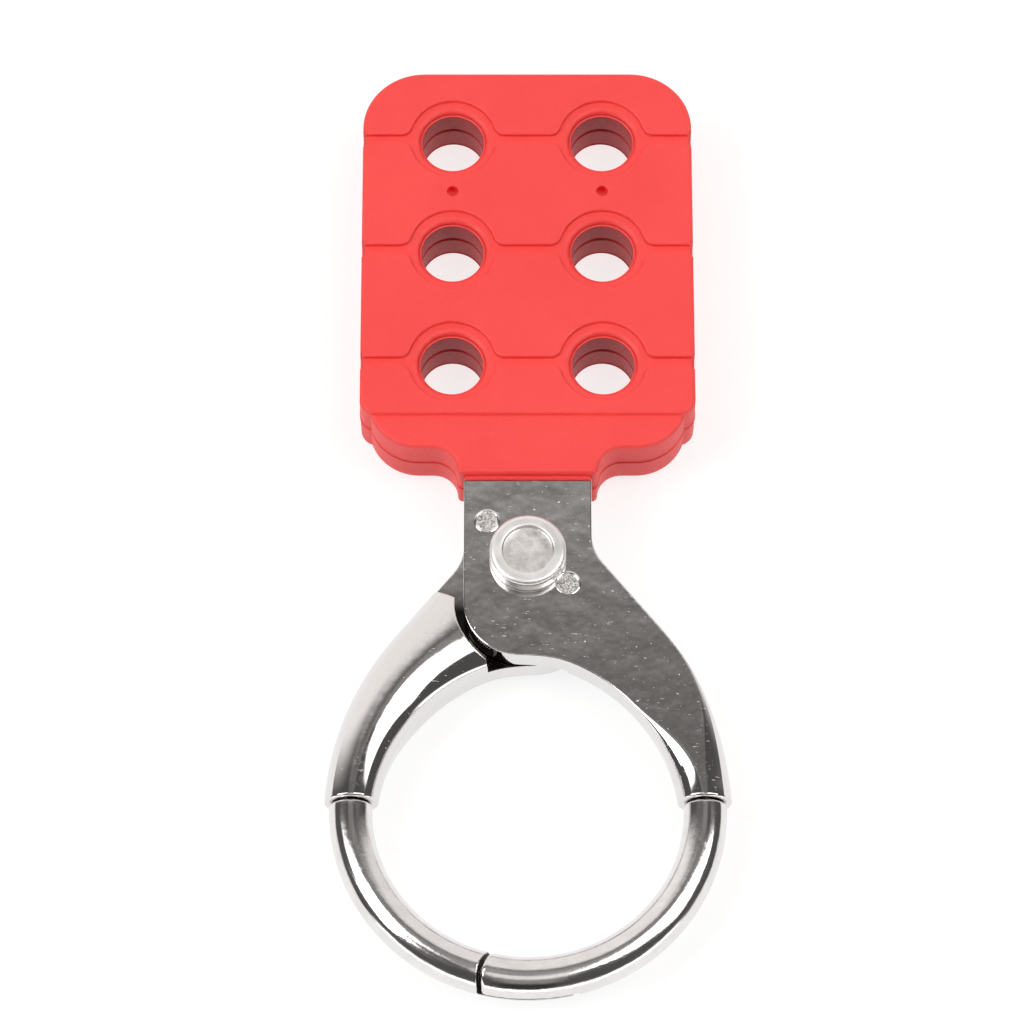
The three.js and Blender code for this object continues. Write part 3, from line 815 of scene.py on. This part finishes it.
def nylon_finish():
    """Matte red nylon with a fine moulded grain and faint flow marks, and painted shade (a darker
    red) in the bores.
    """
    f = Finish("red_nylon")
    grain = f.noise(2600, 3, 0.6)
    clouds = f.noise(60, 3, 0.55)
    tint = f.ramp(clouds, (0.3, (0.90, 0.037, 0.034)), (0.7, (0.95, 0.049, 0.045)))
    x, y, z = f.about_rivet()
    row = f.math("WRAP", y, (MIDDLE_ROW + ROW_PITCH / 2) * MM, (MIDDLE_ROW - ROW_PITCH / 2) * MM)
    away = f.distance(f.math("SUBTRACT", f.math("ABSOLUTE", x), COLUMN * MM),
                      f.math("SUBTRACT", row, MIDDLE_ROW * MM))
    # painted shade: the bore walls get a darker red that stands for the shade inside the padlock
    # holes
    bore = f.math("MULTIPLY", f.span(away, 4.5 * MM, 4.35 * MM, 0, 1),
                  f.span(f.math("ABSOLUTE", z), 3.74 * MM, 3.66 * MM, 0, 1))
    bore = f.math("MULTIPLY", bore, f.math("GREATER_THAN", y, GRIP_STEP * MM))
    tint = f.add("MixRGB", {"Fac": bore, "Color1": tint, "Color2": (0.5, 0.01, 0.012, 1)}
                 ).outputs["Color"]
    dull = f.span(grain, 0.3, 0.7, 0.42, 0.56)
    normal = f.bump(grain, 0.00009, 0.8, f.bump(clouds, 0.0002, 0.15))
    return f.finish(Base_Color=tint, Roughness=dull, Normal=normal, Specular_IOR_Level=0.7)


def floor_finish():
    """A pale floor, lit from within like a light table. It stays white to the eye and in
    the metal, and lights matt surfaces less."""
    f = Finish("floor")
    tint = f.ramp(f.noise(3, 2, 0.5), (0.3, grey(0.28)), (0.7, grey(0.30)))
    matt = f.add("LightPath").outputs["Is Diffuse Ray"]
    glow = f.math("MULTIPLY_ADD", matt, -0.40, 0.77)
    return f.finish(Base_Color=tint, Roughness=0.9, Specular_IOR_Level=0.0,
                    Emission_Color=(1.0, 1.0, 1.0, 1), Emission_Strength=glow)


# ---- the pieces -----------------------------------------------------------------------

def dress(piece, body, node, material):
    piece.data.materials.clear()
    piece.data.materials.append(material)
    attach(piece, body)
    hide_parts(node)


def build():
    chrome, steel, nylon = chrome_finish(), hook_finish(), nylon_finish()
    for shape, names, slot, material in (
        (arm_shape(), ("front_arm", "back_arm"), "chrome_casting", chrome),
        (hook_shape(), ("right_hook", "left_hook"), "hook_steel", steel),
    ):
        points, faces, normals = shape
        front = new_object(names[0] + "_shell", points, faces, normals)
        back = new_object(names[1] + "_shell", turned_over(points), faces, turned_over(normals))
        dress(front, "front_half", names[0], material)
        dress(back, "back_half", names[1], material)

    front = grip_object("front_grip_shell")
    back = bpy.data.objects.new("back_grip_shell", front.data.copy())
    bpy.context.scene.collection.objects.link(back)
    back.rotation_euler = (0, math.pi, 0)
    dress(front, "front_half", "front_grip", nylon)
    dress(back, "back_half", "back_grip", nylon)

    rivet = new_object("pivot_rivet_shell", *rivet_shape())
    rivet.data.set_sharp_from_angle(angle=math.radians(50))
    dress(rivet, "front_half", "pivot_rivet", rivet_finish())


build()

# ---- stage ----------------------------------------------------------------------------

bpy.ops.mesh.primitive_plane_add(size=6, location=(0, 0, cad_box[0].z))
floor = bpy.context.object
floor.name = "floor"
floor.data.materials.append(floor_finish())
floor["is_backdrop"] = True

world = bpy.data.worlds.new("studio")
bpy.context.scene.world = world
world.use_nodes = True
sky = world.node_tree
sky.nodes.clear()


def sky_node(kind, inputs=None, **settings):
    node = sky.nodes.new("ShaderNode" + kind)
    for key, value in settings.items():
        setattr(node, key, value)
    for key, value in (inputs or {}).items():
        if isinstance(value, bpy.types.NodeSocket):
            sky.links.new(value, node.inputs[key])
        else:
            node.inputs[key].default_value = value
    return node


def sky_math(operation, *values):
    return sky_node("Math", dict(enumerate(values)), operation=operation).outputs[0]


def fade(value, start, end):
    """Smoothly from 0 at start to 1 at end."""
    inputs = {"Value": value, "From Min": start, "From Max": end}
    if start > end:
        inputs.update({"From Min": end, "From Max": start, "To Min": 1.0, "To Max": 0.0})
    return sky_node("MapRange", inputs, interpolation_type="SMOOTHSTEP").outputs["Result"]


def over(level, cover, new):
    """The level, with a new one laid over it where cover is 1."""
    gap = sky_math("SUBTRACT", new, level)
    return sky_math("ADD", level, sky_math("MULTIPLY", cover, gap))


# The room: a white wall behind, a dark ceiling and camera side, two soft boxes overhead
# with a pale strip between them, and light near the floor.
CEILING = 0.09
SOFT_BOX = 3.5
FRONT_LOW = 2.6
x, y, z = sky_node("SeparateXYZ", {"Vector": sky_node("TexCoord").outputs["Generated"]}).outputs
aside = sky_math("ABSOLUTE", x)
strip = sky_node("ValToRGB", {"Fac": sky_math("MULTIPLY_ADD", y, 0.5, 0.5)})
stops = strip.color_ramp.elements
for _ in range(6):
    stops.new(0.5)
for stop, (along, shade) in zip(stops, (
    (-0.80, 0.04), (-0.68, 0.30), (-0.46, 0.30), (-0.38, 0.95),
    (-0.16, 0.95), (-0.08, 0.35), (0.30, 0.30), (0.38, 0.12),
)):
    stop.position, stop.color = (along + 1) / 2, (shade, shade, shade, 1)
level = over(CEILING, fade(aside, 0.24, 0.12), strip.outputs["Color"])

right = fade(x, 0.14, 0.20)
left = fade(x, -0.20, -0.26)
low_edge = sky_math("MULTIPLY_ADD", left, sky_math("MULTIPLY_ADD", x, 0.55, 0.40), -0.27)
box = sky_math("MULTIPLY", sky_math("ADD", left, right), fade(aside, 0.82, 0.76))
box = sky_math("MULTIPLY", box, fade(y, 0.26, 0.20))
box = sky_math("MULTIPLY", box, fade(sky_math("SUBTRACT", y, low_edge), -0.03, 0.03))
level = over(level, box, SOFT_BOX)

wall = sky_math("MULTIPLY_ADD", x, -0.14, 0.98)
higher = sky_math("MULTIPLY", fade(aside, 0.12, 0.35), 0.06)
level = over(level, fade(sky_math("SUBTRACT", y, higher), 0.34, 0.57), wall)
low = fade(z, 0.24, 0.06)
level = over(level, low, over(level, fade(y, -0.3, -0.5), FRONT_LOW))
background = sky_node("Background", {"Color": (1.0, 0.965, 0.94, 1), "Strength": level})
sky_node("OutputWorld", {"Surface": background.outputs["Background"]})


def soft_light(name, place_at, aim, size, power, colour=(1, 1, 1)):
    data = bpy.data.lights.new(name, "AREA")
    data.shape, data.size, data.size_y = "RECTANGLE", size[0], size[1]
    data.energy, data.color = power, colour
    lamp = bpy.data.objects.new(name, data)
    bpy.context.scene.collection.objects.link(lamp)
    lamp.location = place_at
    lamp.rotation_mode = "QUATERNION"
    lamp.rotation_quaternion = (Vector(aim) - Vector(place_at)).to_track_quat("-Z", "Y")


soft_light("key", (-0.8, -0.25, 0.8), (0, 0, 0), (0.4, 0.6), 3)

# ---- camera ---------------------------------------------------------------------------

camera_data = bpy.data.cameras.new("camera")
camera = bpy.data.objects.new("camera", camera_data)
bpy.context.scene.collection.objects.link(camera)
DISTANCE = 0.640
ELEVATION = math.radians(65.5)
SENSOR_WIDTH, LENS = 36, 178.65
AIM_X, AIM_Y = -1.97, 7.56                   # what the camera looks at, mm
target = ORIGIN + Vector((AIM_X, AIM_Y, 0)) * MM
back = Vector((0, -math.cos(ELEVATION), math.sin(ELEVATION)))
camera.location = target + back * DISTANCE
camera.rotation_mode = "QUATERNION"
camera.rotation_quaternion = (-back).to_track_quat("-Z", "Y")
camera_data.sensor_width = SENSOR_WIDTH
camera_data.lens = LENS
camera_data.clip_start, camera_data.clip_end = 0.01, 20
bpy.context.scene.camera = camera
bpy.context.scene.view_settings.view_transform = "Standard"

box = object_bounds()
